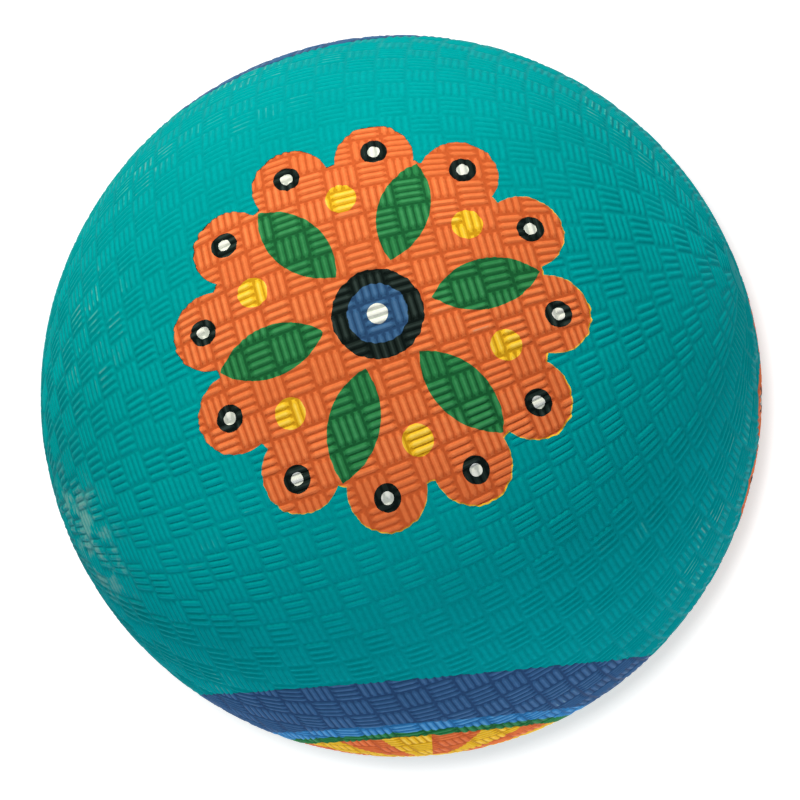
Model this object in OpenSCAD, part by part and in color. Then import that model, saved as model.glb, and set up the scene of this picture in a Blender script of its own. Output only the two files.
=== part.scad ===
// Moulded rubber play ball, 7 inch size, with its needle valve and its printed films.
// The origin is the centre of the ball. The mould's axis is X: the valve is at -X and a
// smooth button is at +X. The rows of the moulded surface run round that axis.

/* [Ball] */
// Outside diameter, over the moulded ribs
ball_d = 178; // [150:1:240]
// Thickness of the outer cover, ribs included
cover_t = 1.6; // [1.2:0.1:3]
// Thickness of the bladder inside the cover
bladder_t = 0.9; // [0.5:0.1:2]
// Height of the moulded ribs, and so the depth of every smooth place between them
rib_h = 0.4; // [0.2:0.05:0.8]
// Diameter of the smooth button at the pole opposite the valve
button_d = 14.8; // [8:0.1:30]
// Width of the parting line, where the two halves of the mould met
parting_w = 0.7; // [0.3:0.1:1.5]

/* [Valve] */
// Diameter of the smooth land round the valve
land_d = 29; // [24:0.5:44]
// Diameter of the raised ring on that land, to its middle
ring_d = 24; // [16:0.5:26]
// Width of the raised ring
ring_w = 0.9; // [0.5:0.1:1.8]
// Diameter of the valve housing's neck, which fills the hole in the cover
neck_d = 10.4; // [9.4:0.2:13]
// Diameter of the housing's barrel where it leaves the flange
barrel_d = 12.4; // [11.4:0.2:15]
// Diameter of the barrel at its inner end
barrel_tip_d = 11; // [10.6:0.2:14]
// Length of the barrel inside the ball
barrel_l = 16; // [14:0.5:24]
// Diameter of the housing's flange
flange_d = 30; // [22:0.5:40]
// Thickness of the flange at its middle
flange_t = 1.7; // [1:0.1:3]
// Thickness of the flange at its feathered edge
flange_edge_t = 0.5; // [0.3:0.1:0.9]
// Radius of the fillet between barrel and flange
barrel_fillet = 1.6; // [0.8:0.1:2.5]
// Diameter of the stiffening patch on the bladder
patch_d = 46; // [42:1:60]
// Thickness of the stiffening patch
patch_t = 0.8; // [0.5:0.1:1.5]
// Diameter of the plug's head, which is sunk in the neck
head_d = 8; // [7.2:0.2:8.6]
// Thickness of the plug's head
head_t = 1.3; // [0.8:0.1:2]
// Diameter of the plug's stem
stem_d = 5.6; // [4.6:0.2:6]
// Diameter of the bulb that holds the plug in its housing
bulb_d = 7.6; // [6.8:0.2:8.2]
// Length of the bulb
bulb_l = 4.4; // [3:0.2:5.5]
// Width of the shoulder that the bulb narrows over at each end
bulb_taper = 0.8; // [0.4:0.1:1.2]
// Diameter of the plug's nose, which fills the housing's outlet
nose_d = 4.4; // [3.4:0.2:5]
// Depth of the outlet that the nose fills
nose_l = 3; // [1.5:0.25:4]
// Diameter of the hole for the pump needle
needle_d = 1.9; // [1.6:0.05:2.3]
// Length of that hole, below its funnel. Past it the slit in the rubber stays closed
needle_l = 10; // [6:0.5:13]
// Diameter of the funnel that guides the needle in
funnel_d = 3.4; // [2.6:0.1:4.4]
// Depth of that funnel
funnel_h = 0.9; // [0.5:0.1:1.2]

/* [Print] */
// Thickness of the printed films
film_t = 0.1; // [0.05:0.01:0.2]
// Angle from the middle of a scalloped badge to its tips, seen from the ball's centre
badge_arc = 33; // [26:0.5:35]
// Number of scallops round a badge
badge_lobes = 12; // [8:1:18]
// Number of leaves in a badge's rosette
badge_leaves = 6; // [4:1:8]
// Angle from the middle of a sun roundel to its edge, seen from the ball's centre
sun_arc = 39; // [30:0.5:41]
// Number of rays in a sun
sun_rays = 8; // [6:1:12]

/* [Hidden] */

round_fn = 180;
small_fn = 64;
full_turn = 360;
quarter_turn = full_turn / 4;

// Shells, from the outside in
ball_r = ball_d / 2;
smooth_r = ball_r - rib_h;
cover_in_r = ball_r - cover_t;
bladder_in_r = cover_in_r - bladder_t;
patch_in_r = bladder_in_r - patch_t;
overrun = ball_r / 20;

// Heights along the valve's axis, from the ball's centre
function rise(sphere_r, x) = sqrt(sphere_r * sphere_r - x * x);
head_floor = smooth_r - head_t;
barrel_end = patch_in_r - barrel_l;
bulb_bottom = barrel_end + nose_l;
bulb_top = bulb_bottom + bulb_l;
funnel_floor = smooth_r - funnel_h;
needle_floor = funnel_floor - needle_l;

// The flange's inner face slopes from its middle to its feathered edge
flange_mid = patch_in_r - flange_t;
flange_rim = rise(patch_in_r, flange_d / 2) - flange_edge_t;

// Where the printed motifs lie: bearing from +X, elevation and turn, in degrees
badge_angles = [[46.8, 72.4, 12], [-27.6, -31.1, 0]];
sun_angles = [[-104.4, 5.4, 0], [92.6, -27.1, 10]];

// Radii of the motifs, seen straight on, and their parts as shares of them
badge_r = ball_r * sin(badge_arc);
sun_r = ball_r * sin(sun_arc);
lobe_pitch_share = 0.81;
lobe_share = 0.19;
leaf_tip_share = 0.80;
leaf_base_share = 0.27;
leaf_width_share = 0.25;
eye_ring_share = 0.22;
eye_share = 0.145;
spark_share = 0.05;
bead_pitch_share = 0.62;
bead_share = 0.075;
pearl_pitch_share = 0.85;
pearl_share = 0.065;
glint_share = 0.03;
sun_band_share = 0.70;
sun_light_share = 0.62;
sun_green_share = 0.56;
sun_hub_share = 0.17;
stamp_arc = 50;
stamp_floor = ball_r * cos(stamp_arc);

// The half plane right of the axis, for profiles that are turned round it
module right_half() {
    translate([0, -2 * ball_r])
        square([2 * ball_r, 4 * ball_r]);
}

// A band of the profile between two heights
module band(x0, x1, z0, z1) {
    translate([x0, z0])
        square([x1 - x0, z1 - z0]);
}

// Turns a profile round the valve's axis. The profile's up is the way out of the valve
module turned() {
    rotate([0, -quarter_turn, 0])
        rotate_extrude($fn = round_fn)
            children();
}

module disc(r) {
    circle(r = r, $fn = round_fn);
}

module shell_profile(outer_r, inner_r) {
    intersection() {
        difference() {
            disc(outer_r);
            disc(inner_r);
        }
        right_half();
    }
}

// The outer ply: smooth land and ring at the valve, button at the far pole, parting line
module cover() {
    color([0.00, 0.58, 0.57]) turned() {
        difference() {
            shell_profile(ball_r, cover_in_r);
            band(-overrun, neck_d / 2, 0, ball_r + overrun);
            difference() {
                union() {
                    band(-overrun, land_d / 2, 0, ball_r + overrun);
                    band(-overrun, button_d / 2, -ball_r - overrun, 0);
                    band(0, ball_r + overrun, -parting_w / 2, parting_w / 2);
                }
                disc(smooth_r);
            }
        }
        intersection() {
            translate([ring_d / 2, rise(smooth_r, ring_d / 2)])
                circle(d = ring_w, $fn = small_fn);
            shell_profile(ball_r, cover_in_r);
        }
    }
}

// The inner ply, with a hole for the valve's neck
module bladder() {
    color([0.10, 0.10, 0.11]) turned()
        difference() {
            shell_profile(cover_in_r, bladder_in_r);
            band(-overrun, neck_d / 2, 0, ball_r);
        }
}

// The disc of rubber that stiffens the bladder round the neck
module valve_patch() {
    color([0.16, 0.16, 0.17]) turned()
        intersection() {
            shell_profile(bladder_in_r, patch_in_r);
            band(neck_d / 2, patch_d / 2, 0, ball_r);
        }
}

// The housing: neck, flange that feathers out, and tapered barrel with a stepped bore
module valve_boot() {
    color([0.13, 0.13, 0.14]) turned()
        difference() {
            union() {
                intersection() {
                    disc(smooth_r);
                    band(0, neck_d / 2, flange_mid, ball_r);
                }
                intersection() {
                    disc(patch_in_r);
                    polygon([
                        [0, flange_mid],
                        [flange_d / 2, flange_rim],
                        [flange_d / 2, ball_r],
                        [0, ball_r]
                    ]);
                }
                polygon([
                    [0, barrel_end],
                    [barrel_tip_d / 2 - bulb_taper, barrel_end],
                    [barrel_tip_d / 2, barrel_end + bulb_taper],
                    [barrel_d / 2, flange_mid - barrel_fillet],
                    [barrel_d / 2, flange_mid + flange_t / 2],
                    [0, flange_mid + flange_t / 2]
                ]);
                difference() {
                    band(0, barrel_d / 2 + barrel_fillet,
                        flange_mid - barrel_fillet, flange_mid + flange_edge_t / 2);
                    translate([barrel_d / 2 + barrel_fillet, flange_mid - barrel_fillet])
                        circle(r = barrel_fillet, $fn = small_fn);
                }
            }
            plug_profile();
        }
}

// The outside of the plug: sunk head, stem, bulb with sloped shoulders, and nose
module plug_profile() {
    intersection() {
        polygon([
            [0, barrel_end],
            [nose_d / 2, barrel_end],
            [nose_d / 2, bulb_bottom],
            [bulb_d / 2 - bulb_taper / 2, bulb_bottom],
            [bulb_d / 2, bulb_bottom + bulb_taper],
            [bulb_d / 2, bulb_top - bulb_taper],
            [stem_d / 2, bulb_top],
            [stem_d / 2, head_floor],
            [head_d / 2, head_floor],
            [head_d / 2, ball_r + overrun],
            [0, ball_r + overrun]
        ]);
        disc(smooth_r);
    }
}

// The self-sealing plug, with the funnel and the hole for a pump needle
module valve_core() {
    color([0.22, 0.22, 0.23]) turned()
        difference() {
            plug_profile();
            band(-overrun, needle_d / 2, needle_floor, ball_r + overrun);
            polygon([
                [0, funnel_floor],
                [needle_d / 2, funnel_floor],
                [funnel_d / 2, smooth_r],
                [funnel_d / 2, ball_r + overrun],
                [0, ball_r + overrun]
            ]);
        }
}

// Cuts a film out of the thin shell that lies on the cover, by outlines stamped through it
module film() {
    intersection() {
        difference() {
            sphere(r = ball_r + film_t, $fn = round_fn);
            sphere(r = ball_r, $fn = round_fn);
        }
        union() children();
    }
}

module stamped(angles) {
    for (a = angles)
        rotate([0, quarter_turn - a[1], a[0]])
            rotate([0, 0, a[2]])
                translate([0, 0, stamp_floor])
                    linear_extrude(ball_r + overrun - stamp_floor)
                        children();
}

// Copies round the middle of a motif, at a radius
module ring_of(count, pitch_r, turn = 0) {
    for (i = [0 : count - 1])
        rotate(full_turn * i / count + turn)
            translate([pitch_r, 0])
                children();
}

module spot(r) {
    circle(r = r, $fn = small_fn);
}

module hoop(outer_r, inner_r) {
    difference() {
        disc(outer_r);
        disc(inner_r);
    }
}

// One leaf of the rosette: the lens where two circles cross, pointing out along X
module leaf() {
    half_l = badge_r * (leaf_tip_share - leaf_base_share) / 2;
    half_w = badge_r * leaf_width_share / 2;
    arc_r = (half_l * half_l + half_w * half_w) / (2 * half_w);
    intersection_for (side = [-1, 1])
        translate([0, side * (arc_r - half_w)])
            circle(r = arc_r, $fn = round_fn);
}

module leaves() {
    ring_of(badge_leaves, badge_r * (leaf_tip_share + leaf_base_share) / 2)
        leaf();
}

module beads() {
    ring_of(badge_leaves, badge_r * bead_pitch_share, full_turn / 2 / badge_leaves)
        spot(badge_r * bead_share);
}

module pearls(r) {
    ring_of(badge_lobes, badge_r * pearl_pitch_share, full_turn / 2 / badge_lobes)
        spot(r);
}

module badge_outline() {
    disc(badge_r * lobe_pitch_share);
    ring_of(badge_lobes, badge_r * lobe_pitch_share, full_turn / 2 / badge_lobes)
        spot(badge_r * lobe_share);
}

// One ray of a sun, from its hub to its green hoop
module ray(turn) {
    tip_r = sun_r * sun_green_share;
    half_turn = quarter_turn / sun_rays;
    rotate(turn)
        intersection() {
            hoop(tip_r, sun_r * sun_hub_share);
            polygon([
                [0, 0],
                [sun_r * cos(half_turn), -sun_r * sin(half_turn)],
                [sun_r * cos(half_turn), sun_r * sin(half_turn)]
            ]);
        }
}

module print_orange() {
    color([0.90, 0.40, 0.17]) film() {
        stamped(badge_angles)
            difference() {
                badge_outline();
                leaves();
                beads();
                pearls(badge_r * pearl_share);
                disc(badge_r * eye_ring_share);
            }
        stamped(sun_angles)
            for (i = [0 : sun_rays - 1])
                ray(full_turn * (i + 0.5) / sun_rays);
    }
}

module print_green() {
    color([0.16, 0.47, 0.28]) film() {
        stamped(badge_angles)
            leaves();
        stamped(sun_angles)
            hoop(sun_r * sun_light_share, sun_r * sun_green_share);
    }
}

module print_yellow() {
    color([0.96, 0.76, 0.16]) film() {
        stamped(badge_angles)
            beads();
        stamped(sun_angles) {
            disc(sun_r * sun_hub_share);
            for (i = [0 : sun_rays - 1])
                ray(full_turn * i / sun_rays);
        }
    }
}

module print_blue() {
    color([0.16, 0.26, 0.56]) film() {
        stamped(badge_angles)
            hoop(badge_r * eye_share, badge_r * spark_share);
        stamped(sun_angles)
            hoop(sun_r, sun_r * sun_band_share);
    }
}

module print_light_blue() {
    color([0.20, 0.50, 0.75]) film()
        stamped(sun_angles)
            hoop(sun_r * sun_band_share, sun_r * sun_light_share);
}

module print_dark() {
    color([0.09, 0.13, 0.12]) film()
        stamped(badge_angles) {
            hoop(badge_r * eye_ring_share, badge_r * eye_share);
            difference() {
                pearls(badge_r * pearl_share);
                pearls(badge_r * glint_share);
            }
        }
}

module print_white() {
    color([0.90, 0.91, 0.88]) film()
        stamped(badge_angles) {
            pearls(badge_r * glint_share);
            disc(badge_r * spark_share);
        }
}

cover();
bladder();
valve_patch();
valve_boot();
valve_core();
print_orange();
print_green();
print_yellow();
print_blue();
print_light_blue();
print_dark();
print_white();
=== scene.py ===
import math

import bpy
import numpy as np
from mathutils import Matrix, Vector, geometry


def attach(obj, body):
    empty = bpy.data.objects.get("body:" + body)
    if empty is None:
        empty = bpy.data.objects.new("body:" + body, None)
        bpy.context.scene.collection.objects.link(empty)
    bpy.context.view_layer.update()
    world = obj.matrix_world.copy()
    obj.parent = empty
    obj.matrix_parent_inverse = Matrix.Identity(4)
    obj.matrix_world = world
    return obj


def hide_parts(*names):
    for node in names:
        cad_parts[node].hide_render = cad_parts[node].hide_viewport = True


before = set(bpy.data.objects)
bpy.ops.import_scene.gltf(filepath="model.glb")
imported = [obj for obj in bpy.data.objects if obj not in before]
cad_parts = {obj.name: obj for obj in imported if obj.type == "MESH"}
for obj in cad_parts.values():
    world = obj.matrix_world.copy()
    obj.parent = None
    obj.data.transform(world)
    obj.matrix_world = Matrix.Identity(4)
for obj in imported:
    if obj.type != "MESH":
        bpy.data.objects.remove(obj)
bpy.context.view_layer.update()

# Sizes, in metres, as in the CAD source
BALL_R = 0.089
RIB_H = 0.0004
VALLEY_R = BALL_R - RIB_H
COVER_T = 0.0016
INNER_R = BALL_R - COVER_T
LAND_R = 0.0145
RING_R = 0.012
RING_W = 0.0009
NECK_R = 0.0052

FULL_TURN = 2 * math.pi

# The moulded weave: rows of woven blocks round the X axis, counted from the button at +X.
# A block has four ribs, and the ribs of a row's blocks lie along the row and across it by turns.
# On one meridian, the seam, every row is its own mirror image.
ROWS = 38
STEP = math.pi / ROWS
SEAM = math.radians(-22.3)
BUTTON_SIDE = [4, 10, 16, 22, 28, 32, 38, 42, 50, 53, 60, 60, 67, 74, 74, 74, 74, 74, 74]
VALVE_SIDE = [74, 74, 74, 74, 74, 74, 67, 60, 60, 54, 50, 42, 38, 32, 28, 22, 16, 10, 4]
COUNTS = np.array(BUTTON_SIDE + VALVE_SIDE)
SWAPPED_ROWS = (10, 11)
RIBS = 4

# The first and the last row that are woven. Past them lie the smooth button and the smooth land.
FIRST_ROW = 1
LAST_ROW = 35

# A rib from above: the half width of its foot as a share of the ribs' pitch, its reach from the
# block's middle as a share of the block's length, and its tapered end's length over that half width
FOOT = 0.48
END = 0.485
TAPER = 1.8

# A rib in section: how flat its top is, and how far out its shoulders lie as a share of FOOT
RIB_FLATNESS = 1.8
SHOULDER = 0.62

# How high the ribs stand, as a share of the full height: usually, and by how much blocks differ.
# The phases spread that difference over the rows and the blocks.
USUAL_SHARE = 0.9
OWN_SHARE = 0.1
ROW_PHASE = 12.9
BLOCK_PHASE = 7.8

# Where the ribs stand lower: direction from the ball's centre, reach over its radius, and loss
LOWER = [
    ((0.39, 0.795, 0.462), 0.6, 0.15),
    ((0.62, 0.508, 0.598), 0.35, 0.3),
    ((0.03, -0.44, 0.9), 0.42, 0.4),
    ((0.88, -0.12, 0.42), 0.5, 0.25),
]

# The raised ring on the valve's land, and the rounded lip of the hole. The lip stops just short
# of a quarter round, so that its slope stays finite.
RING_H = 0.95 * RIB_H
RING_REACH = 0.55 * RING_W
LIP = 0.0004
LIP_SHARE = 0.98

# The raised rim on the button, and the dimple at its middle
RIM_R = 0.0062
RIM_REACH = 0.0005
RIM_H = 0.6 * RIB_H
DIMPLE_R = 0.0011
DIMPLE_DEPTH = 0.5 * RIB_H

# The distance over which a slope is measured, in metres. At the poles, where the rings shrink to
# a point, their radius is taken as no less than a share of the ball's.
SLOPE_STEP = 1.5e-5
LEAST_RING = 1e-3


def upright_at_seam(k):
    """Whether the ribs at the seam run from pole to pole in this row."""
    if COUNTS[k] % 2:
        return False
    return (k % 2 == 0) != (k in SWAPPED_ROWS)


UPRIGHT = np.array([upright_at_seam(k) for k in range(ROWS)])
ODD = COUNTS % 2 == 1
WIDTHS = FULL_TURN / COUNTS
MIDDLES = (np.arange(ROWS) + 0.5) * STEP
BLOCK_W = WIDTHS * np.sin(MIDDLES) * BALL_R
BLOCK_H = STEP * BALL_R


def direction(lon, col):
    """Unit vectors of places on the ball.

    col is the angle from +X, and lon the turn about X from +Z."""
    return np.stack([np.cos(col), -np.sin(col) * np.sin(lon), np.sin(col) * np.cos(lon)], -1)


def hump(q, flatness=1.15):
    """A rounded ridge: 1 at its crest, 0 from q = 1 on. A higher flatness gives a flatter top."""
    return np.cos(0.5 * math.pi * np.clip(q, 0, 1) ** flatness) ** 2


def standing(lon, col, k, j):
    """How high a block's ribs stand: it changes over the ball, and a little between blocks."""
    share = USUAL_SHARE + OWN_SHARE * np.sin(ROW_PHASE * k + BLOCK_PHASE * j)
    way = direction(lon, col)
    for place, reach, loss in LOWER:
        share = share - loss * hump(np.linalg.norm(way - place, axis=-1) / reach)
    return share


def weave_height(lon, col):
    """Height of the ribs over the valleys, as a share of the full height."""
    k = np.clip((col / STEP).astype(int), 0, ROWS - 1)
    turn = (lon - SEAM) / WIDTHS[k] + np.where(ODD[k], 0.0, 0.5)
    j = np.floor(turn)
    a = turn - j - 0.5
    b = col / STEP - k - 0.5
    even = (j % COUNTS[k]) % 2 == 0
    upright = np.where(even, UPRIGHT[k], ~UPRIGHT[k])
    across = np.where(upright, a, b)
    along = np.where(upright, b, a)
    pitch = np.where(upright, BLOCK_W[k], BLOCK_H) / RIBS
    length = np.where(upright, BLOCK_H, BLOCK_W[k])
    rib = np.clip(np.floor((across + 0.5) * RIBS), 0, RIBS - 1)
    x = ((across + 0.5) * RIBS - rib - 0.5) * pitch
    foot = FOOT * pitch
    y = np.maximum(np.abs(along) * length - (END * length - TAPER * foot), 0) / TAPER
    h = hump(np.hypot(x, y) / foot, RIB_FLATNESS) * standing(lon, col, k, j % COUNTS[k])
    return np.where((k < FIRST_ROW) | (k > LAST_ROW), 0.0, h)


def relief(lon, col):
    """Height of the cover's surface over its valleys, in metres, with the land and the button."""
    h = RIB_H * weave_height(lon, col)
    r = BALL_R * np.sin(col)
    on_valve = np.cos(col) < 0
    ring = RING_H * hump(np.abs(r - RING_R) / RING_REACH)
    lip = np.clip((NECK_R + LIP - r) / LIP, 0, 1)
    drop = LIP * (1 - np.sqrt(1 - LIP_SHARE * lip**2))
    h = h + np.where(on_valve, ring - drop, 0.0)
    rim = RIM_H * hump(np.abs(r - RIM_R) / RIM_REACH)
    dimple = DIMPLE_DEPTH * hump(r / DIMPLE_R)
    return h + np.where(on_valve, 0.0, rim - dimple)


def surface_normals(lon, col):
    """Normals of the cover's surface, from the slope of its relief."""
    step = SLOPE_STEP
    ring = np.maximum(np.sin(col), LEAST_RING) * BALL_R
    slope_lon = (relief(lon + step / ring, col) - relief(lon - step / ring, col)) / (2 * step)
    up = np.clip(col + step / BALL_R, 0, math.pi)
    down = np.clip(col - step / BALL_R, 0, math.pi)
    slope_col = (relief(lon, up) - relief(lon, down)) / (2 * step)
    to_col = np.stack([-np.sin(col), -np.cos(col) * np.sin(lon), np.cos(col) * np.cos(lon)], -1)
    to_lon = np.stack([np.zeros_like(lon), -np.cos(lon), -np.sin(lon)], -1)
    n = direction(lon, col) - slope_col[:, None] * to_col - slope_lon[:, None] * to_lon
    return n / np.linalg.norm(n, axis=1, keepdims=True)


# One woven block as a patch of points and faces, drawn once and set in every row. At its two ends
# the points lie at the ribs' feet, and on the rows between them there are five to a rib.
ACROSS_RIB = (-1, -SHOULDER, 0, SHOULDER, 1)
PER_RIB = len(ACROSS_RIB)
CENTRES = [(i + 0.5) / RIBS - 0.5 for i in range(RIBS)]
FEET = [c + side * FOOT / RIBS for c in CENTRES for side in (-1, 1)]
LINES = [c + m * FOOT / RIBS for c in CENTRES for m in ACROSS_RIB]
PATCH_ROWS = 4
ROW_STARTS = [len(FEET) + row * len(LINES) for row in range(PATCH_ROWS)]
LAST = len(FEET) + PATCH_ROWS * len(LINES)

# The points along the patch's edges: at its two ends, and down its two sides
START = list(range(len(FEET)))
FINISH = list(range(LAST, LAST + len(FEET)))
LOW = [START[0]] + ROW_STARTS + [FINISH[0]]
HIGH = [START[-1]] + [start + len(LINES) - 1 for start in ROW_STARTS] + [FINISH[-1]]


def patch_points(foot_share):
    """(across, along) of a patch's points.

    foot_share is the half width of a rib's foot over the block's length."""
    outer = END - (1 - SHOULDER) * TAPER * foot_share
    inner = END - TAPER * foot_share
    points = [(x, -END) for x in FEET]
    for y in (-outer, -inner, inner, outer):
        points += [(x, y) for x in LINES]
    points += [(x, END) for x in FEET]
    return np.array(points)


def patch_faces():
    """Triangles of a patch: flanks and valleys, and a fan at each end of each rib."""
    made = []
    for near, far in zip(ROW_STARTS, ROW_STARTS[1:]):
        for c in range(len(LINES) - 1):
            a, b = near + c, near + c + 1
            d, e = far + c + 1, far + c
            made += [(a, b, d), (a, d, e)]
    for first, row in ((START[0], ROW_STARTS[0]), (FINISH[0], ROW_STARTS[-1])):
        for i in range(RIBS):
            left, right = first + 2 * i, first + 2 * i + 1
            p = [row + PER_RIB * i + m for m in range(PER_RIB)]
            fan = [(left, p[0], p[1]), (left, p[1], p[2]), (left, p[2], right)]
            fan += [(right, p[2], p[3]), (right, p[3], p[4])]
            if i < RIBS - 1:
                after = p[4] + 1
                fan += [(right, p[4], after), (right, after, right + 1)]
            made += [f[::-1] for f in fan] if first == START[0] else fan
    return np.array(made)


PATCH = patch_faces()

# How many points the plain rings have: as a rule, on the land, at the middle of the button, on
# the equator, where the two woven halves meet, and on the sphere that closes the films
RING_POINTS = 96
LAND_POINTS = 128
POLE_POINTS = 32
EQUATOR_POINTS = 592
FILM_RING_POINTS = 120

# Radii of the rings that shape the button and the land, from the outermost in: across the land's
# raised ring as shares of its reach, and across the lip as distances from the hole. Past
# NEAR_POLE_R, towards the button's middle, the rings have fewer points.
NEAR_POLE_R = 0.003
BUTTON_RINGS = (0.0073, 0.0067, 0.00645, 0.0062, 0.00595, 0.0057, 0.004, 0.0011, 0.0008, 0.0005)
ACROSS_RING = (1, 0.8, 0.55, 0.28, 0, -0.28, -0.55, -0.8, -1)
INNER_LAND_R = 0.0085
ACROSS_LIP = (LIP, 0.00026, 0.00013, 0.00004, 0)
LAND_RINGS = [LAND_R]
LAND_RINGS += [RING_R + RING_REACH * t for t in ACROSS_RING]
LAND_RINGS += [INNER_LAND_R]
LAND_RINGS += [NECK_R + d for d in ACROSS_LIP]

# The plain spheres inside: how many rings they have, for half a cover and for the films, and how
# many degrees from a pole the last one lies
INNER_RINGS = 19
FILM_RINGS = 59
POLE_GAP = 3

BUTTON_ROWS = range(ROWS // 2 - 1, FIRST_ROW - 1, -1)
VALVE_ROWS = range(ROWS // 2, LAST_ROW + 1)


def zipped(one, one_at, two, two_at):
    """Triangles that close the strip between two lines of points, given the order along them."""
    kinds = np.concatenate([np.zeros(len(one) - 1, int), np.ones(len(two) - 1, int)])
    middles = [(at[1:] + at[:-1]) / 2 for at in (one_at, two_at)]
    order = np.argsort(np.concatenate(middles), kind="stable")
    kinds = kinds[order]
    i = np.cumsum(kinds == 0) - (kinds == 0)
    j = np.cumsum(kinds == 1) - (kinds == 1)
    one_next = one[np.minimum(i + 1, len(one) - 1)]
    two_next = two[np.minimum(j + 1, len(two) - 1)]
    return np.stack([one[i], two[j], np.where(kinds == 0, one_next, two_next)], 1)


def ring_zipped(one, one_at, two, two_at):
    """The same for two closed rings, whose points are given by their turn about X."""
    lines = []
    for points, at in ((one, one_at), (two, two_at)):
        at = (at - SEAM) % FULL_TURN
        order = np.argsort(at)
        points, at = points[order], at[order]
        lines += [np.append(points, points[0]), np.append(at, at[0] + FULL_TURN)]
    return zipped(*lines)


class Skin:
    """Points as (lon, col) and triangles, built up ring by ring.

    A ring is the numbers of its points and their turns about X."""

    def __init__(self):
        self.lon = []
        self.col = []
        self.faces = []
        self.count = 0

    def add(self, lon, col):
        """New points. Returns their numbers."""
        first = self.count
        self.lon.append(lon)
        self.col.append(col)
        self.count += len(lon)
        return np.arange(first, self.count)

    def angles(self):
        """(lon, col) of all the points."""
        return np.concatenate(self.lon), np.concatenate(self.col)

    def ring(self, col, segments=RING_POINTS):
        """A plain ring of points at this angle from +X."""
        lon = SEAM + np.arange(segments) * FULL_TURN / segments
        return self.add(lon, np.full(segments, col)), lon

    def weave_row(self, k):
        """One row of blocks, joined to each other. Returns the rings along its two edges."""
        n = COUNTS[k]
        width = WIDTHS[k]
        shift = 0.5 if ODD[k] else 0.0
        first_upright = 0 if UPRIGHT[k] else 1
        upright = np.arange(n) % 2 == first_upright
        tops, bottoms, sides = [], [], []
        for j in range(n):
            middle = SEAM + (j + shift) * width
            pitch = (BLOCK_W[k] if upright[j] else BLOCK_H) / RIBS
            length = BLOCK_H if upright[j] else BLOCK_W[k]
            across, along = patch_points(FOOT * pitch / length).T
            a, b = (across, along) if upright[j] else (along, across)
            lon = middle + a * width
            ids = self.add(lon, (k + 0.5 + b) * STEP)
            self.faces.append(ids[0] + PATCH)
            ends, flanks = (START, FINISH), (LOW, HIGH)
            top, bottom = ends if upright[j] else flanks
            left, right = flanks if upright[j] else ends
            tops.append((ids[top], lon[top]))
            bottoms.append((ids[bottom], lon[bottom]))
            sides.append((ids[left], b[left], ids[right], b[right]))
        for j in range(n):
            after = sides[(j + 1) % n]
            self.faces.append(zipped(*sides[j][2:], *after[:2]))
        return [tuple(np.concatenate(part) for part in zip(*edge)) for edge in (tops, bottoms)]

    def join(self, one, two):
        """The strip between two rings."""
        self.faces.append(ring_zipped(*one, *two))

    def cap(self, ring, col):
        """Closes a ring with one point at a pole."""
        pole = self.add(np.zeros(1), np.full(1, col))[0]
        order = np.argsort((ring[1] - SEAM) % FULL_TURN)
        at = ring[0][order]
        self.faces.append(np.stack([at, np.roll(at, -1), np.full(len(at), pole)], 1))


def woven_half(skin, rows, ring):
    """The rows of one half, from its ring on the equator to the pole. Returns the last ring."""
    for k in rows:
        top, bottom = skin.weave_row(k)
        near, far = (bottom, top) if k < ROWS // 2 else (top, bottom)
        skin.join(ring, near)
        ring = far
    return ring


def smooth_button(skin, ring):
    """The smooth button at +X, inside the first woven row."""
    for r in BUTTON_RINGS:
        after = skin.ring(math.asin(r / BALL_R), RING_POINTS if r > NEAR_POLE_R else POLE_POINTS)
        skin.join(ring, after)
        ring = after
    skin.cap(ring, 0.0)


def smooth_land(skin, ring):
    """The smooth land round the valve, with its raised ring and lip. Returns the hole's ring."""
    for r in LAND_RINGS:
        after = skin.ring(math.pi - math.asin(r / BALL_R), LAND_POINTS)
        skin.join(ring, after)
        ring = after
    return ring


def plain_sphere(turns, segments=RING_POINTS):
    """A skin of plain rings at these angles from +X, joined, and the rings."""
    skin = Skin()
    rings = [skin.ring(t, segments) for t in turns]
    for one, two in zip(rings, rings[1:]):
        skin.join(one, two)
    return skin, rings


def outward(points, groups, sign):
    """All groups of faces, each turned to look away from the centre, or towards it for sign -1."""
    turned_groups = []
    for faces in groups:
        a, b, c = (points[faces[:, i]] for i in range(3))
        away = (np.cross(b - a, c - a) * (a + b + c)).sum() * sign > 0
        turned_groups.append(faces if away else faces[:, ::-1])
    return np.concatenate(turned_groups)


def first_triangle(points, wall):
    """The way that a wall's first triangle looks, and the sum of its corners."""
    a, b, c = (points[wall[0, i]] for i in range(3))
    return np.cross(b - a, c - a), a + b + c


def new_mesh(name, points, faces):
    """A mesh of triangles."""
    mesh = bpy.data.meshes.new(name)
    mesh.vertices.add(len(points))
    mesh.vertices.foreach_set("co", points.astype(np.float32).ravel())
    mesh.loops.add(len(faces) * 3)
    mesh.loops.foreach_set("vertex_index", faces.astype(np.int32).ravel())
    mesh.polygons.add(len(faces))
    mesh.polygons.foreach_set("loop_start", np.arange(0, len(faces) * 3, 3, dtype=np.int32))
    mesh.polygons.foreach_set("loop_total", np.full(len(faces), 3, np.int32))
    mesh.update(calc_edges=True)
    mesh.validate()
    return mesh


def in_scene(name, data):
    """A new object, linked to the scene."""
    made = bpy.data.objects.new(name, data)
    bpy.context.scene.collection.objects.link(made)
    return made


def new_piece(name, mesh, material, slot, *nodes):
    """A piece of the ball that takes the place of these nodes."""
    piece = in_scene(name, mesh)
    mesh.materials.append(material)
    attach(piece, "root")
    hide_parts(*nodes)


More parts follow.
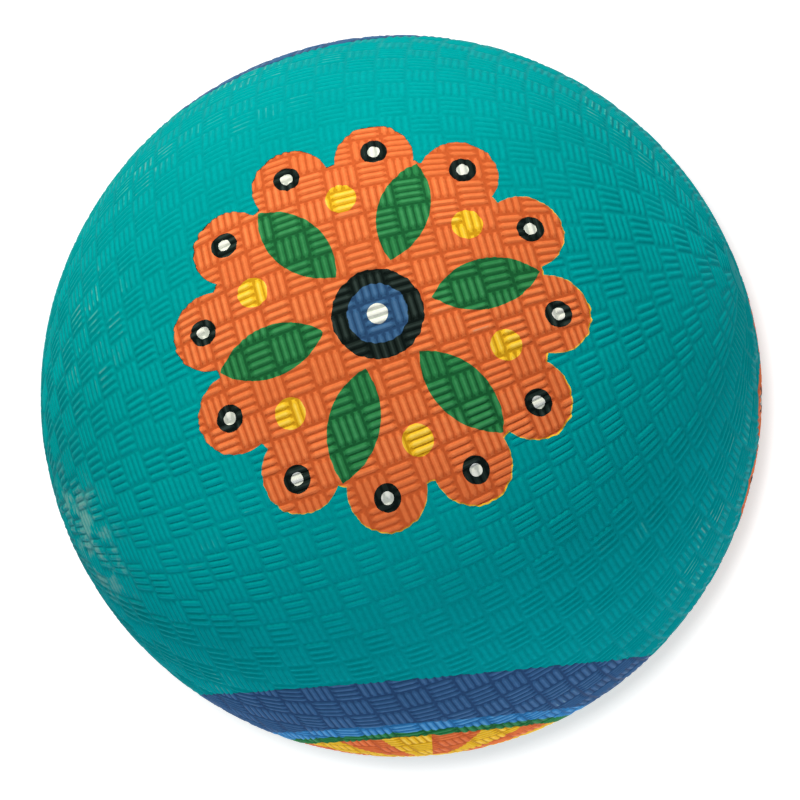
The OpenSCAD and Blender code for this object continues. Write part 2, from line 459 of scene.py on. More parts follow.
def cover_half(name, valve_side, material):
    """One half of the cover, a closed shell: woven outside, plain inside, flat at the equator."""
    skin = Skin()
    equator = skin.ring(math.pi / 2, EQUATOR_POINTS)
    if valve_side:
        mouth = smooth_land(skin, woven_half(skin, VALVE_ROWS, equator))
    else:
        smooth_button(skin, woven_half(skin, BUTTON_ROWS, equator))
    lon, col = skin.angles()
    outer = direction(lon, col) * (VALLEY_R + relief(lon, col))[:, None]

    hole_turn = math.pi - math.asin(NECK_R / INNER_R)
    end = hole_turn if valve_side else math.radians(POLE_GAP)
    inner, rings = plain_sphere(np.linspace(math.pi / 2, end, INNER_RINGS))
    if not valve_side:
        inner.cap(rings[-1], 0.0)
    inner_ways = direction(*inner.angles())
    inside = inner_ways * INNER_R
    points = np.concatenate([outer, inside])
    faces = [outward(outer, skin.faces, 1), outward(inside, inner.faces, -1) + len(outer)]

    def shifted(ring):
        return ring[0] + len(outer), ring[1]

    wall = ring_zipped(*equator, *shifted(rings[0]))
    looks = first_triangle(points, wall)[0]
    if looks[0] * (1 if valve_side else -1) < 0:
        wall = wall[:, ::-1]
    faces.append(wall)
    if valve_side:
        hole = ring_zipped(*mouth, *shifted(rings[-1]))
        looks, corners = first_triangle(points, hole)
        if np.dot(looks[1:], corners[1:]) > 0:
            hole = hole[:, ::-1]
        faces.append(hole)
    mesh = new_mesh(name, points, np.concatenate(faces))
    normals = np.concatenate([surface_normals(lon, col), -inner_ways])
    mesh.polygons.foreach_set("use_smooth", np.ones(len(mesh.polygons), bool))
    mesh.normals_split_custom_set_from_vertices(normals.tolist())
    new_piece(name, mesh, material, "cover_rubber", "cover")


# The printed films lie on the woven surface: each is cut from one woven skin by stamps

# How far a film stands over the cover's surface, and how far under the valleys it is closed
FILM_UP = 0.00005
FILM_DOWN = 0.00025
FILM_DOWN_R = VALLEY_R - FILM_DOWN

# Places of the printed motifs: bearing from +X, elevation and turn, and the angles from a motif's
# middle to its edge, all in degrees and as in the CAD source
BADGES = [(46.8, 72.4, 12), (-27.6, -31.1, 0)]
SUNS = [(-104.4, 5.4, 0), (92.6, -27.1, 10)]
BADGE_ARC = 33
SUN_ARC = 39
BADGE_R = BALL_R * math.sin(math.radians(BADGE_ARC))
SUN_R = BALL_R * math.sin(math.radians(SUN_ARC))
LOBES = 12
LEAVES = 6
RAYS = 8

# The parts of a badge, as shares of its radius
LOBES_AT = 0.81
LOBE = 0.19
LEAF_TIP = 0.8
LEAF_BASE = 0.27
LEAF_WIDTH = 0.25
BEADS_AT = 0.62
BEAD = 0.075
PEARLS_AT = 0.85
PEARL = 0.065
GLINT = 0.03
EYE_RING = 0.22
EYE = 0.145
SPARK = 0.05

# The rings of a sun from the middle out, as shares of its radius: hub, rays, green, light blue
HUB = 0.17
RAY_TIPS = 0.56
GREEN_RING = 0.62
LIGHT_RING = 0.7

# How many points the outlines have
BADGE_POINTS = 720
HOOP_POINTS = 240
DISC_POINTS = 96
BEAD_POINTS = 48
PEARL_POINTS = 40
GLINT_POINTS = 32
LEAF_POINTS = 33
RAY_POINTS = 13

# How far an edge is worn in and out, in metres, for large and small shapes, and the waves that do
# it: height, radians to the millimetre along x and y, and phase. Within FADE_R of a motif's
# middle they fade.
WEAR = 0.00012
FINE_WEAR = 0.00005
WAVES = ((1.0, 1.9, 0.7, 0), (0.7, -1.3, 2.7, 1), (0.5, 4.1, 3.3, 2))
MILLIMETRES = 1000
FADE_R = 0.004

# The print is slightly out of register, so other inks show along two sides of the first badge:
# the bearing of each in degrees, and its width in metres. A share of the width shows all round.
YELLOW_SHOWS = (-115, 0.00032)
DARK_SHOWS = (58, 0.00018)
SHOWS_ALL_ROUND = 0.06
SHOWS_ON_SIDE = 0.94
SHOWS_POWER = 0.7

# How far in and out of the ball a stamp reaches, over the ball's radius
STAMP_LOW = 0.6
STAMP_HIGH = 1.4

# A face of a film is shaded as woven where it lies this far over the sphere that closes the
# films, and where the cosine between its own normal and the weave's is over LOOKS_ALIKE
TOP_OVER_INNER = 0.0001
LOOKS_ALIKE = 0.45


def film_skin():
    """The whole woven surface, raised a little and closed by a plain sphere under the valleys."""
    skin = Skin()
    equator = skin.ring(math.pi / 2, EQUATOR_POINTS)
    skin.cap(woven_half(skin, BUTTON_ROWS, equator), 0.0)
    skin.cap(woven_half(skin, VALVE_ROWS, equator), math.pi)
    lon, col = skin.angles()
    outer = direction(lon, col) * (VALLEY_R + FILM_UP + relief(lon, col))[:, None]

    turns = np.linspace(math.radians(POLE_GAP), math.radians(180 - POLE_GAP), FILM_RINGS)
    inner, rings = plain_sphere(turns, FILM_RING_POINTS)
    inner.cap(rings[0], 0.0)
    inner.cap(rings[-1], math.pi)
    inside = direction(*inner.angles()) * FILM_DOWN_R
    faces = [outward(outer, skin.faces, 1), outward(inside, inner.faces, -1) + len(outer)]
    mesh = new_mesh("film_skin", np.concatenate([outer, inside]), np.concatenate(faces))
    return bpy.data.objects.new("film_skin", mesh)


def placed(points, place):
    """Points in a motif's own axes, its Z out of the ball, moved to its place."""
    bearing, elevation, turn = place
    to_bearing = Matrix.Rotation(math.radians(bearing), 3, "Z")
    tilt = Matrix.Rotation(math.radians(90 - elevation), 3, "Y")
    spin = Matrix.Rotation(math.radians(turn), 3, "Z")
    return points @ np.array(to_bearing @ tilt @ spin).T


def worn_edge(outline, size=WEAR):
    """An outline moved in and out a little, as a print's edge is."""
    x, y = outline[:, 0] * MILLIMETRES, outline[:, 1] * MILLIMETRES
    shift = sum(high * np.sin(by_x * x + by_y * y + phase) for high, by_x, by_y, phase in WAVES)
    reach = np.maximum(np.hypot(x, y) / MILLIMETRES, FADE_R)
    return outline * (1 + size * shift / reach)[:, None]


def on_ball(flat):
    """Places of a flat outline's points on the ball, straight above them along the motif's axis."""
    return np.column_stack([flat, np.sqrt(BALL_R**2 - (flat**2).sum(1))])


def prism(outline, holes=()):
    """Points and triangles of a closed stamp, whose walls run out from the ball's centre.

    It may have holes."""
    loops = [outline] + list(holes)
    flat = np.concatenate(loops)
    caps = geometry.tessellate_polygon([[Vector((x, y, 0)) for x, y in loop] for loop in loops])
    caps = np.array([tuple(t) for t in caps])
    a, b, c = (flat[caps[:, i]] for i in range(3))
    turn = (b - a)[:, 0] * (c - a)[:, 1] - (b - a)[:, 1] * (c - a)[:, 0]
    caps = np.where((turn > 0)[:, None], caps, caps[:, ::-1])
    n = len(flat)
    faces = [caps[:, ::-1], caps + n]
    first = 0
    for number, loop in enumerate(loops):
        i = np.arange(len(loop)) + first
        j = np.roll(i, -1)
        x, y = loop[:, 0], loop[:, 1]
        ccw = (x * np.roll(y, -1) - y * np.roll(x, -1)).sum() > 0
        wall = np.concatenate([np.stack([i, j, j + n], 1), np.stack([i, j + n, i + n], 1)])
        faces.append(wall if ccw == (number == 0) else wall[:, ::-1])
        first += len(loop)
    points = np.concatenate([on_ball(flat) * STAMP_LOW, on_ball(flat) * STAMP_HIGH])
    return points, np.concatenate(faces)


def stamps(name, parts):
    """One object of closed prisms. parts are (place, outline, holes)."""
    points, faces, count = [], [], 0
    for place, outline, holes in parts:
        p, f = prism(outline, holes)
        points.append(placed(p, place))
        faces.append(f + count)
        count += len(p)
    mesh = new_mesh(name, np.concatenate(points), np.concatenate(faces))
    return bpy.data.objects.new(name, mesh)


def round_line(radius, x=0.0, points=DISC_POINTS):
    """A circle round a place on the X axis."""
    t = np.arange(points) * FULL_TURN / points
    return np.column_stack([x + radius * np.cos(t), radius * np.sin(t)])


def turned(outline, degrees):
    """An outline turned about the motif's middle."""
    c, s = math.cos(math.radians(degrees)), math.sin(math.radians(degrees))
    return outline @ np.array([[c, s], [-s, c]])


def around(outline, count, offset=0.0):
    """Copies of an outline, evenly spaced about the motif's middle."""
    return [turned(outline, 360 * i / count + offset) for i in range(count)]


def badge_edge():
    """The scalloped edge of a badge: the outermost of its disc and its twelve lobes."""
    t = np.arange(BADGE_POINTS) * FULL_TURN / BADGE_POINTS
    pitch = FULL_TURN / LOBES
    near = (t + pitch / 2) % pitch - pitch / 2
    lobe_at = BADGE_R * LOBES_AT
    lobe = BADGE_R * LOBE
    across = lobe_at * np.sin(near)
    reach = lobe_at * np.cos(near) + np.sqrt(np.maximum(lobe**2 - across**2, 0))
    r = np.where(np.abs(across) < lobe, np.maximum(reach, lobe_at), lobe_at)
    outline = np.column_stack([r * np.cos(t), r * np.sin(t)])
    return turned(outline, 180 / LOBES)


def rim(outline, bearing, width):
    """A thin crescent along the outside of a worn outline, widest at a bearing in degrees."""
    edge = worn_edge(outline)
    reach = np.hypot(edge[:, 0], edge[:, 1])
    side = np.cos(np.arctan2(edge[:, 1], edge[:, 0]) - math.radians(bearing))
    share = SHOWS_ALL_ROUND + SHOWS_ON_SIDE * np.clip(side, 0, 1) ** SHOWS_POWER
    return edge * (1 + width * share / reach)[:, None], [edge]


def leaf_edge():
    """The lens of a badge's leaf, pointing out along X."""
    tip, base, width = LEAF_TIP * BADGE_R, LEAF_BASE * BADGE_R, LEAF_WIDTH * BADGE_R
    half_l, half_w = (tip - base) / 2, width / 2
    arc_r = (half_l**2 + half_w**2) / (2 * half_w)
    reach = math.asin(half_l / arc_r)
    t = np.linspace(-reach, reach, LEAF_POINTS)
    upper = np.column_stack([arc_r * np.sin(t), arc_r * np.cos(t) - (arc_r - half_w)])
    lower = np.column_stack([upper[1:-1, 0], -upper[1:-1, 1]])
    outline = np.concatenate([upper, lower[::-1]])
    return outline + np.array([(tip + base) / 2, 0])


def ray_edge(turn):
    """One ray of a sun, between its hub and its green hoop."""
    half = math.pi / 2 / RAYS
    t = np.linspace(-half, half, RAY_POINTS)
    arc = np.column_stack([np.cos(t), np.sin(t)]) * SUN_R
    return turned(np.concatenate([arc * RAY_TIPS, (arc * HUB)[::-1]]), turn)


def hoop(outer, inner):
    """A ring of a sun, between these shares of its radius."""
    edges = [worn_edge(round_line(share * SUN_R, points=HOOP_POINTS)) for share in (outer, inner)]
    return edges[0], edges[1:]


def at_places(places, shapes):
    """The shapes at each of the places, as stamps() wants them."""
    return [(place, outline, holes) for place in places for outline, holes in shapes]


def without_holes(outlines, wear=WEAR):
    """Shapes with worn edges and no holes."""
    return [(worn_edge(o, wear), []) for o in outlines]


# The outlines of a badge's and a sun's parts
leaves = around(leaf_edge(), LEAVES)
bead = round_line(BEAD * BADGE_R, BEADS_AT * BADGE_R, points=BEAD_POINTS)
beads = around(bead, LEAVES, 180 / LEAVES)
pearl = round_line(PEARL * BADGE_R, PEARLS_AT * BADGE_R, points=PEARL_POINTS)
pearls = around(pearl, LOBES, 180 / LOBES)
glint = round_line(GLINT * BADGE_R, PEARLS_AT * BADGE_R, points=GLINT_POINTS)
glints = around(glint, LOBES, 180 / LOBES)
eye_ring = round_line(EYE_RING * BADGE_R)
eye = round_line(EYE * BADGE_R)
spark = round_line(SPARK * BADGE_R, points=BEAD_POINTS)
hub = round_line(HUB * SUN_R)
rays = [ray_edge(360 * i / RAYS) for i in range(RAYS)]
rays_between = [ray_edge(360 * (i + 0.5) / RAYS) for i in range(RAYS)]
worn_pearls = [worn_edge(o, FINE_WEAR) for o in pearls]
worn_glints = [worn_edge(o, FINE_WEAR) for o in glints]
pierced_pearls = [(p, [g]) for p, g in zip(worn_pearls, worn_glints)]
badge_holes = [worn_edge(o) for o in leaves + [eye_ring]]
badge_holes += [worn_edge(o, FINE_WEAR) for o in beads] + worn_pearls

# What each ink prints, as (place, outline, holes)
INKS = {
    "orange": [
        *at_places(BADGES, [(worn_edge(badge_edge()), badge_holes)]),
        *at_places(SUNS, without_holes(rays_between)),
    ],
    "green": [
        *at_places(BADGES, without_holes(leaves)),
        *at_places(SUNS, [hoop(GREEN_RING, RAY_TIPS)]),
    ],
    "yellow": [
        *at_places(BADGES, without_holes(beads, FINE_WEAR)),
        *at_places(BADGES[:1], [rim(badge_edge(), *YELLOW_SHOWS)]),
        *at_places(SUNS, without_holes([hub] + rays)),
    ],
    "blue": [
        *at_places(BADGES, [(worn_edge(eye), [worn_edge(spark, FINE_WEAR)])]),
        *at_places(SUNS, [hoop(1, LIGHT_RING)]),
    ],
    "light_blue": at_places(SUNS, [hoop(LIGHT_RING, GREEN_RING)]),
    "dark": [
        *at_places(BADGES, [(worn_edge(eye_ring), [worn_edge(eye)])] + pierced_pearls),
        *at_places(BADGES[:1], [rim(badge_edge(), *DARK_SHOWS)]),
    ],
    "white": at_places(BADGES, without_holes(glints + [spark], FINE_WEAR)),
}


def vectors(items, name):
    """A vector of each of a mesh's vertices or faces, as the rows of an array."""
    values = np.empty(len(items) * 3, np.float32)
    items.foreach_get(name, values)
    return values.reshape(-1, 3).astype(float)


def numbers(items, name):
    """A whole number of each of a mesh's faces or corners."""
    values = np.empty(len(items), np.int32)
    items.foreach_get(name, values)
    return values


def cut_film(name, skin, stamp, material, slot, node):
    """The skin where the stamps go through it, shaded by the slope of the relief."""
    work = in_scene("work", skin.data)
    bpy.context.scene.collection.objects.link(stamp)
    cut = work.modifiers.new("cut", "BOOLEAN")
    cut.solver = "MANIFOLD"
    cut.operation = "INTERSECT"
    cut.object = stamp
    graph = bpy.context.evaluated_depsgraph_get()
    mesh = bpy.data.meshes.new_from_object(work.evaluated_get(graph))
    bpy.data.objects.remove(work)
    bpy.data.objects.remove(stamp)
    mesh.name = name
    mesh.materials.clear()
    mesh.polygons.foreach_set("material_index", np.zeros(len(mesh.polygons), np.int32))

    points = vectors(mesh.vertices, "co")
    radius = np.linalg.norm(points, axis=1)
    away = points / radius[:, None]
    lon = np.arctan2(-away[:, 1], away[:, 2])
    col = np.arccos(np.clip(away[:, 0], -1, 1))
    shading = surface_normals(lon, col)
    looks = vectors(mesh.polygons, "normal")
    corners = numbers(mesh.polygons, "loop_total")
    face = np.repeat(np.arange(len(corners)), corners)
    vertex = numbers(mesh.loops, "vertex_index")
    agrees = (shading[vertex] * looks[face]).sum(1)
    on_top = radius[vertex] > FILM_DOWN_R + TOP_OVER_INNER
    top_face = np.ones(len(corners), bool)
    np.logical_and.at(top_face, face, on_top & (agrees > LOOKS_ALIKE))
    smooth = top_face[face]
    normals = np.where(smooth[:, None], shading[vertex], looks[face])
    mesh.polygons.foreach_set("use_smooth", top_face)
    mesh.normals_split_custom_set(normals.tolist())
    new_piece(name, mesh, material, slot, node)


# Materials

# Noises: size in metres, detail and roughness
MOTTLE = (0.05, 2.0, 0.5)
FLECKS = (0.004, 4.0, 0.6)
SPECKS = (0.0011, 3.0, 0.6)
SCUFFING = (0.03, 3.0, 0.6)
CHALK = (0.012, 2.0, 0.5)
CHALKY = (0.007, 4.0, 0.65)
GRAIN = (0.0005, 2.0, 0.5)
BLOOM = (0.003, 4.0, 0.6)
BLACK_SPECKS = (0.001, 3.0, 0.5)
BLACK_GRAIN = (0.0003, 2.0, 0.5)

# The values of a noise over which a tint or a roughness changes, and the least and most tint
MIDDLE = (0.3, 0.7)
TINTS = (0.94, 1.05)

# Where each look starts and where it is full, by its noise or by the height of the ribs. The
# chalky patch has two more values, its shares in the valleys and on the crests.
# The first two ranges place painted light: a painted shade in the valleys, fading out over its
# heights, and a painted highlight on the crests.
PAINTED_VALLEY_SHADE = (0.0, 0.35)
PAINTED_CREST_HIGHLIGHT = (0.6, 1.0)
SCUFFED = (0.6, 0.76)
# The scuffs that these two ranges place on the crests are wear and a painted sheen.
SCUFF_AND_SHEEN_FLECKS = (0.42, 0.62)
SCUFF_AND_SHEEN_HEIGHTS = (0.8, 1.0)
CHALKED = (0.42, 0.6)
CHALKY_SPOTS = (0.48, 0.62)
CHALKY_HEIGHTS = (0.0, 0.7, 0.45, 1.0)
BLOOMING = (0.4, 0.75)
CHALKY_SHARE = 0.4
BLOOM_SHARE = 0.5
# The chalk colour is a second colour of the pale scuffs, so it is a painted sheen too where they
# are.
CHALK_AND_SHEEN_COLOUR = "86B5AB"
CHALKY_COLOUR = "A2BDB0"

# The rubber's gloss, how much its roughness varies, and the grain's depth in metres and strength
GLOSS = 0.003
LESS_ROUGH = 0.05
BLACK_LESS_ROUGH = 0.06
MORE_ROUGH = 0.08
GRAIN_DEPTH = 0.00002
BLACK_GRAIN_DEPTH = 0.00001
GRAIN_STRENGTH = 0.5

# Where the ribs are rubbed pale, by wear and with a painted sheen: direction from the ball's
# centre, and reach in metres. It is full over a share of the reach. The first of these places is
# chalky too.
RUBBED_AND_SHEEN = [
    ((-0.846, -0.072, 0.528), 0.024),
    ((0.087, 0.915, 0.395), 0.022),
    ((0.866, 0.483, 0.133), 0.022),
    ((0.711, -0.665, 0.228), 0.022),
    ((0.895, -0.407, 0.158), 0.018),
    ((-0.604, 0.459, 0.652), 0.020),
    ((-0.407, 0.827, 0.387), 0.024),
    ((-0.101, 0.939, 0.326), 0.024),
]
FULL_OVER = 0.3


def linear(text):
    """A colour written as six hex digits, as the shader wants it: the sRGB curve undone."""
    values = [int(text[i:i + 2], 16) / 255 for i in (0, 2, 4)]
    return [v / 12.92 if v <= 0.04045 else ((v + 0.055) / 1.055) ** 2.4 for v in values] + [1.0]


class Nodes:
    """Short names for the nodes of a tree."""

    def __init__(self, tree):
        self.tree = tree

    def new(self, kind):
        return self.tree.nodes.new("ShaderNode" + kind)

    def link(self, value, socket):
        """Sets a socket to a number or a colour, or links another socket to it."""
        if isinstance(value, bpy.types.NodeSocket):
            self.tree.links.new(value, socket)
        else:
            socket.default_value = value

    def range(self, value, low, high, to_low=0.0, to_high=1.0):
        """A value from low to high, mapped smoothly to the values to_low to to_high."""
        node = self.new("MapRange")
        node.interpolation_type = "SMOOTHSTEP"
        for socket, v in zip(node.inputs, (value, low, high, to_low, to_high)):
            self.link(v, socket)
        return node.outputs[0]

    def math(self, operation, a, b):
        node = self.new("Math")
        node.operation = operation
        self.link(a, node.inputs[0])
        self.link(b, node.inputs[1])
        return node.outputs[0]

    def distance(self, place, other=None):
        """How far a place is from the origin, or from another place."""
        node = self.new("VectorMath")
        node.operation = "LENGTH" if other is None else "DISTANCE"
        self.link(place, node.inputs[0])
        if other is not None:
            self.link(other, node.inputs[1])
        return node.outputs["Value"]

    def seen_directly(self):
        """1 for rays from the camera and for those that gloss or glass send on, otherwise 0."""
        path = self.new("LightPath")
        seen = path.outputs["Is Camera Ray"]
        for kind in ("Is Glossy Ray", "Is Transmission Ray"):
            seen = self.math("MAXIMUM", seen, path.outputs[kind])
        return seen


class Shader(Nodes):
    """A new material and the nodes that the rubbers share."""

    def __init__(self, name):
        self.material = bpy.data.materials.new(name)
        self.material.use_nodes = True
        super().__init__(self.material.node_tree)
        self.tree.nodes.clear()
        self.surface = self.new("BsdfPrincipled")
        self.link(self.surface.outputs[0], self.new("OutputMaterial").inputs[0])
        self.place = self.new("TexCoord").outputs["Object"]

    def noise(self, size, detail, rough):
        node = self.new("TexNoise")
        self.link(self.place, node.inputs["Vector"])
        node.inputs["Scale"].default_value = 1 / size
        node.inputs["Detail"].default_value = detail
        node.inputs["Roughness"].default_value = rough
        return node.outputs["Fac"]

    def mix(self, share, a, b, way="MIX"):
        """Colours a and b, mixed. A Mix node's sockets for colours are 6, 7 and 2."""
        node = self.new("Mix")
        node.data_type = "RGBA"
        node.blend_type = way
        self.link(share, node.inputs[0])
        self.link(a, node.inputs[6])
        self.link(b, node.inputs[7])
        return node.outputs[2]

    def height(self, lift):
        """0 in the weave's valleys and 1 on its crests, for a surface raised by this much."""
        return self.range(self.distance(self.place), VALLEY_R + lift, BALL_R + lift)

    def near(self, way, reach):
        """1 at the place that lies this way on the ball, falling to 0 at this distance from it."""
        far = self.distance(self.place, [BALL_R * v for v in way])
        return self.range(far, FULL_OVER * reach, reach, 1.0, 0.0)

    def rough(self, value, rough, less, more):
        """The surface's roughness, which follows a noise a little."""
        varied = self.range(value, *MIDDLE, rough - less, rough + more)
        self.link(varied, self.surface.inputs["Roughness"])

    def bump(self, value, depth):
        node = self.new("Bump")
        node.inputs["Strength"].default_value = GRAIN_STRENGTH
        node.inputs["Distance"].default_value = depth
        self.link(value, node.inputs["Height"])
        self.link(node.outputs[0], self.surface.inputs["Normal"])


def rubber(name, base, valley_shade, crest, worn, wear, rough, lift=0.0):
    """Moulded rubber: darker in the valleys as a painted shade, with the crest colour on the crests
    as a painted highlight where it is paler, and scuffed pale on the crests by wear, which at the
    listed rubbed places is a painted sheen too. It has a fine grain.
    """
    s = Shader(name)
    height = s.height(lift)
    flecks = s.noise(*FLECKS)
    # Painted shade: the valleys take the darker valley colour.
    colour = s.mix(s.range(height, *PAINTED_VALLEY_SHADE), linear(valley_shade), linear(base))
    # Painted highlight: the crests take the crest colour, paler on the inks.
    colour = s.mix(s.range(height, *PAINTED_CREST_HIGHLIGHT), colour, linear(crest))

    tint = s.range(s.noise(*MOTTLE), *MIDDLE, *TINTS)
    tint = s.math("MULTIPLY", tint, s.range(s.noise(*SPECKS), *MIDDLE, *TINTS))
    grey = s.new("CombineColor")
    for socket in grey.inputs[:3]:
        s.link(tint, socket)
    colour = s.mix(1.0, colour, grey.outputs[0], "MULTIPLY")

    # Pale scuffs on the crests: wear, and a painted sheen at the listed rubbed places.
    rubbed_and_sheen = s.range(s.noise(*SCUFFING), *SCUFFED)
    for way, reach in RUBBED_AND_SHEEN:
        rubbed_and_sheen = s.math("MAXIMUM", rubbed_and_sheen, s.near(way, reach))
    scuffs_and_sheen = s.math("MULTIPLY", rubbed_and_sheen, s.range(flecks, *SCUFF_AND_SHEEN_FLECKS))
    scuffs_and_sheen = s.math("MULTIPLY", scuffs_and_sheen, s.range(height, *SCUFF_AND_SHEEN_HEIGHTS))
    scuffs_and_sheen = s.math("MULTIPLY", scuffs_and_sheen, wear)
    chalk = s.range(s.noise(*CHALK), *CHALKED)
    colour = s.mix(scuffs_and_sheen, colour, s.mix(chalk, linear(worn), linear(CHALK_AND_SHEEN_COLOUR)))

    chalky = s.math("MULTIPLY", s.near(*RUBBED_AND_SHEEN[0]), CHALKY_SHARE)
    chalky = s.math("MULTIPLY", chalky, s.range(s.noise(*CHALKY), *CHALKY_SPOTS))
    chalky = s.math("MULTIPLY", chalky, s.range(height, *CHALKY_HEIGHTS))
    colour = s.mix(chalky, colour, linear(CHALKY_COLOUR))

    s.link(colour, s.surface.inputs["Base Color"])
    s.rough(flecks, rough, LESS_ROUGH, MORE_ROUGH)
    s.surface.inputs["Specular IOR Level"].default_value = GLOSS
    s.bump(s.noise(*GRAIN), GRAIN_DEPTH)
    return s.material


def plain_rubber(name, colour, pale, rough):
    """Smooth black rubber with a fine grain and a little bloom."""
    s = Shader(name)
    bloom = s.math("MULTIPLY", s.range(s.noise(*BLOOM), *BLOOMING), BLOOM_SHARE)
    s.link(s.mix(bloom, linear(colour), linear(pale)), s.surface.inputs["Base Color"])
    s.rough(s.noise(*BLACK_SPECKS), rough, BLACK_LESS_ROUGH, MORE_ROUGH)
    s.bump(s.noise(*BLACK_GRAIN), BLACK_GRAIN_DEPTH)
    return s.material


# The colours of the rubbers: usual, darker in the valleys as a painted shade, on the crests as a
# painted highlight where paler, and where they are scuffed, which is wear and a painted sheen
TEAL = ("00979C", "009095", "00979C", "5CC8B6")
INK_COLOURS = {
    "orange": ("E07240", "C2582D", "F0834E", "D8B496"),
    "green": ("2A7846", "1B5A33", "3C8C58", "6E9A86"),
    "yellow": ("F2C02F", "C9931A", "FAD35A", "B9B488"),
    "blue": ("375E8A", "29476F", "476D99", "7C93A6"),
    "light_blue": ("3A84C0", "28669A", "5B9DD0", "86A8B0"),
    "dark": ("1C2624", "0F1716", "303C3A", "5C7A76"),
    "white": ("E4E6E0", "BFC4BE", "F0F1EC", "A9BDB6"),
}

# The pieces
teal = rubber("cover_rubber", *TEAL, wear=0.7, rough=0.45)
cover_half("cover_button_half", False, teal)
cover_half("cover_valve_half", True, teal)

skin = film_skin()
for ink, parts in INKS.items():
    material = rubber("ink_" + ink, *INK_COLOURS[ink], wear=0.8, rough=0.36, lift=FILM_UP)
    stamp = stamps("stamp_" + ink, parts)
    cut_film("film_" + ink, skin, stamp, material, "ink_" + ink, "print_" + ink)
bpy.data.objects.remove(skin)

# The pieces that keep their CAD shapes: colour, colour of the bloom, and roughness
for node, colour, pale, rough in (
    ("bladder", "1C1C1E", "2C2C2E", 0.6),
    ("valve_patch", "222224", "333335", 0.6),
    ("valve_boot", "202123", "36383A", 0.45),
    ("valve_core", "2C2E30", "46494B", 0.5),
):
    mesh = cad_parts[node].data
    mesh.materials.clear()
    mesh.materials.append(plain_rubber(node + "_rubber", colour, pale, rough))
    mesh.shade_smooth()
    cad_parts[node].modifiers.clear()

# Camera: it looks down on the ball from thirteen radii away, 11 degrees off the upright to +X.
# Its lens and its shift, in pixels of an 800 by 800 frame, give the photograph's frame. The
# sensor's width is in millimetres.
AWAY = 13 * BALL_R
BACK = Vector((0.196, 0.0, 0.9806)).normalized()
ROUGHLY_UP = Vector((0.338, 0.9387, -0.0676))
UP = (ROUGHLY_UP - ROUGHLY_UP.dot(BACK) * BACK).normalized()
RIGHT = UP.cross(BACK)
SENSOR = 36
FRAME_PIXELS = 800
FOCAL_PIXELS = 4679
SHIFT_PIXELS = (-1.2, -4.1)
NEAREST = 0.01
FARTHEST = 20

camera = in_scene("camera", bpy.data.cameras.new("camera"))
axes = Matrix((RIGHT, UP, BACK)).transposed().to_4x4()
camera.matrix_world = Matrix.Translation(BACK * AWAY) @ axes
camera.data.sensor_width = SENSOR
camera.data.lens = SENSOR * FOCAL_PIXELS / FRAME_PIXELS
camera.data.shift_x = SHIFT_PIXELS[0] / FRAME_PIXELS
camera.data.shift_y = SHIFT_PIXELS[1] / FRAME_PIXELS
camera.data.clip_start = NEAREST
camera.data.clip_end = FARTHEST
bpy.context.scene.camera = camera

# Lights: the way towards each in the picture's axes, its size in metres, its power in watts and
# its colour. They stand at one distance from the ball's centre, in metres. The floor has a light
# of its own, for a narrow shadow.
LAMP_DISTANCE = 1.3
BALL_LAMPS = {
    "key": ((-0.33, 0.71, 0.62), 0.2, 14.2, (1, 1, 0.83)),
    "from_below": ((0.15, -0.9, 0.2), 0.5, 6.8, (0.95, 1, 1.08)),
    "from_right": ((0.7, 0.7, 0.1), 0.5, 3.2, (1, 1, 1)),
}
FLOOR_LAMPS = {"floor_light": ((-0.04, 0.04, 1.0), 0.08, 10.0, (1, 1, 1))}

# The world's strength, and the floor: half its side, its gap under the ball and its colour.
# Seen directly it glows, so that it looks white, and the glow grows from the first to the second
# of GLOWS between two distances from the origin.
WORLD_STRENGTH = 0.42
FLOOR_HALF = 6
FLOOR_GAP = 0.0001
FLOOR_COLOUR = (0.86, 0.86, 0.86, 1)
GLOW_DISTANCES = (0.5, 1.2)
GLOWS = (0.44, 0.7)


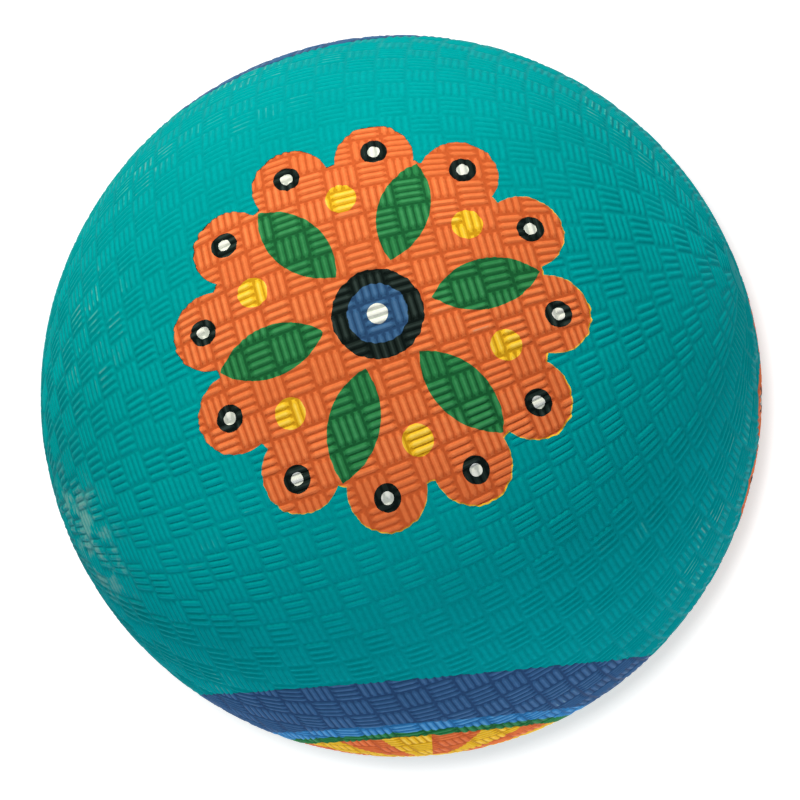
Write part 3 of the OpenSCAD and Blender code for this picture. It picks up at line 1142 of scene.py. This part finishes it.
def soft_lights(lamps, lit):
    """Square soft lights that light only what the collection lit takes in."""
    for name, (toward, size, power, colour) in lamps.items():
        lamp = in_scene(name, bpy.data.lights.new(name, "AREA"))
        lamp.data.size = size
        lamp.data.energy = power
        lamp.data.color = colour
        way = (RIGHT * toward[0] + UP * toward[1] + BACK * toward[2]).normalized()
        lamp.location = way * LAMP_DISTANCE
        lamp.rotation_mode = "QUATERNION"
        lamp.rotation_quaternion = way.to_track_quat("Z", "Y")
        lamp.light_linking.receiver_collection = lit


def surroundings():
    """An even white world, which the camera sees as plain white."""
    world = bpy.data.worlds.new("world")
    world.use_nodes = True
    nodes = Nodes(world.node_tree)
    background = nodes.tree.nodes["Background"]
    background.inputs[0].default_value = (1, 1, 1, 1)
    strength = nodes.range(nodes.seen_directly(), 0.0, 1.0, WORLD_STRENGTH, 1.0)
    nodes.link(strength, background.inputs[1])
    bpy.context.scene.world = world


def floor():
    """A white sheet under the ball. The camera sees it as white except in the ball's shadow."""
    z = -BALL_R - FLOOR_GAP
    corners = ((-1, -1), (1, -1), (1, 1), (-1, 1))
    points = np.array([(x * FLOOR_HALF, y * FLOOR_HALF, z) for x, y in corners])
    mesh = new_mesh("floor", points, np.array([(0, 1, 2), (0, 2, 3)]))
    sheet = in_scene("floor", mesh)
    material = bpy.data.materials.new("white_sheet")
    material.use_nodes = True
    nodes = Nodes(material.node_tree)
    nodes.tree.nodes.clear()
    diffuse = nodes.new("BsdfDiffuse")
    diffuse.inputs[0].default_value = FLOOR_COLOUR
    glow = nodes.new("Emission")
    far = nodes.distance(nodes.new("TexCoord").outputs["Object"])
    strength = nodes.range(far, *GLOW_DISTANCES, *GLOWS)
    nodes.link(nodes.math("MULTIPLY", nodes.seen_directly(), strength), glow.inputs[1])
    both = nodes.new("AddShader")
    nodes.link(diffuse.outputs[0], both.inputs[0])
    nodes.link(glow.outputs[0], both.inputs[1])
    nodes.link(both.outputs[0], nodes.new("OutputMaterial").inputs[0])
    mesh.materials.append(material)
    return sheet


def light_up(sheet):
    """Lights the ball and the floor apart."""
    only_floor = bpy.data.collections.new("only_floor")
    only_floor.objects.link(sheet)
    all_but_floor = bpy.data.collections.new("all_but_floor")
    all_but_floor.objects.link(sheet)
    all_but_floor.collection_objects[0].light_linking.link_state = "EXCLUDE"
    soft_lights(BALL_LAMPS, all_but_floor)
    soft_lights(FLOOR_LAMPS, only_floor)


surroundings()
light_up(floor())
bpy.context.scene.view_settings.view_transform = "Standard"
